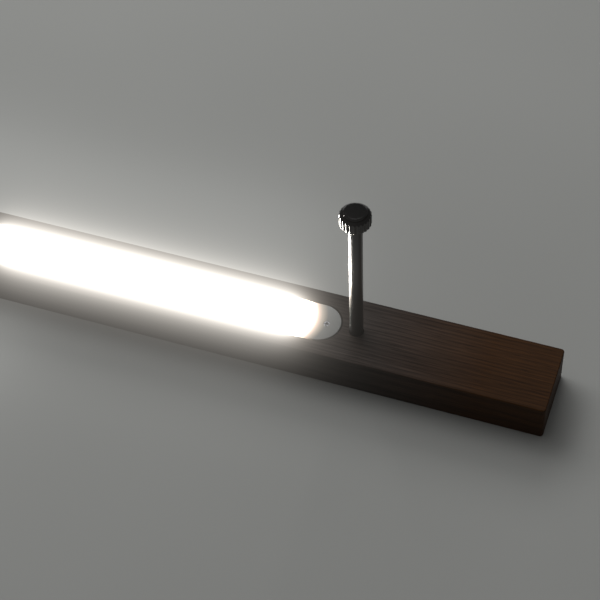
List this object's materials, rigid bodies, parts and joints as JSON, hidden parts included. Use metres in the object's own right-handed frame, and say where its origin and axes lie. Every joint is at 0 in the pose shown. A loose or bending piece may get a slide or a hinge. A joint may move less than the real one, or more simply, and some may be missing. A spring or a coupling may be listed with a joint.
{
  "type": "linear led luminaire with dimmer",
  "caption": "Linear wooden LED luminaire with a flush opal light cover and a fluted rotary dimmer knob on a black enamelled steel stem.",
  "frame": {"origin": "middle of the beam's flat back face, at the bottom centre of the bounding box, with the luminaire lying on its back", "axes": "+X along the beam towards the end with the dimmer stem, +Y across the beam, +Z out of the lit face and up the stem"},
  "size_m": [1, 0.058, 0.1604],
  "materials": {
    "wood": "dark smoked oak, oiled, straight grain along the beam",
    "opal_cover": "satin opal acrylic, lit warm white from below",
    "black_enamel": "satin black stoved enamel on steel tube",
    "black_knob": "glossy black moulded, fluted",
    "zinc_steel": "bright zinc plated",
    "aluminium": "mill finish extrusion",
    "led_board": "white solder mask with yellow LED lenses",
    "white_plastic": "moulded white nylon",
    "black_plastic": "moulded black",
    "circuit_board": "green solder mask",
    "brass": "turned brass",
    "powder_coat": "fine black powder coat",
    "rubber": "moulded black rubber",
    "lead_sheath": "grey sheathed lead"
  },
  "bodies": {
    "luminaire": {"wood_beam": "wood", "light_cover": "opal_cover", "stem_tube": "black_enamel", "cover_screw_left": "zinc_steel", "cover_screw_right": "zinc_steel", "rail_screw_left": "zinc_steel", "rail_screw_middle": "zinc_steel", "rail_screw_right": "zinc_steel", "stem_plate": "zinc_steel", "stem_plate_screw_1": "zinc_steel", "stem_plate_screw_2": "zinc_steel", "dimmer_board_screw_1": "zinc_steel", "dimmer_board_screw_2": "zinc_steel", "dimmer_hatch_screw_1": "zinc_steel", "dimmer_hatch_screw_2": "zinc_steel", "dimmer_hatch_screw_3": "zinc_steel", "dimmer_hatch_screw_4": "zinc_steel", "driver_hatch_screw_1": "zinc_steel", "driver_hatch_screw_2": "zinc_steel", "driver_hatch_screw_3": "zinc_steel", "driver_hatch_screw_4": "zinc_steel", "driver_screw_1": "zinc_steel", "driver_screw_2": "zinc_steel", "led_rail": "aluminium", "led_board_1": "led_board", "led_board_2": "led_board", "led_board_3": "led_board", "led_board_4": "led_board", "board_link_1": "white_plastic", "board_link_2": "white_plastic", "board_link_3": "white_plastic", "stem_bush": "white_plastic", "dimmer_terminal": "white_plastic", "driver_case": "white_plastic", "driver_lid": "white_plastic", "mains_terminal": "white_plastic", "output_terminal": "white_plastic", "potentiometer": "black_plastic", "driver_transformer": "black_plastic", "dimmer_board": "circuit_board", "driver_board": "circuit_board", "stem_lock_nut": "brass", "board_spacer_1": "brass", "board_spacer_2": "brass", "suspension_insert_left": "brass", "suspension_insert_right": "brass", "dimmer_hatch": "powder_coat", "driver_hatch": "powder_coat", "mains_grommet": "rubber", "dimmer_lead": "lead_sheath", "led_lead": "lead_sheath"},
    "dimmer_spindle": {"knob": "black_knob", "knob_cap": "black_knob", "knob_grub_screw": "zinc_steel", "drive_shaft": "zinc_steel", "shaft_sleeve": "brass", "potentiometer_shaft": "aluminium"}
  },
  "joints": [
    {"name": "dimmer_turn", "type": "hinge", "parent": "luminaire", "child": "dimmer_spindle", "pos_m": [0.352, 0, 0], "axis": [0, 0, 1], "range_deg": [0, 300]}
  ]
}
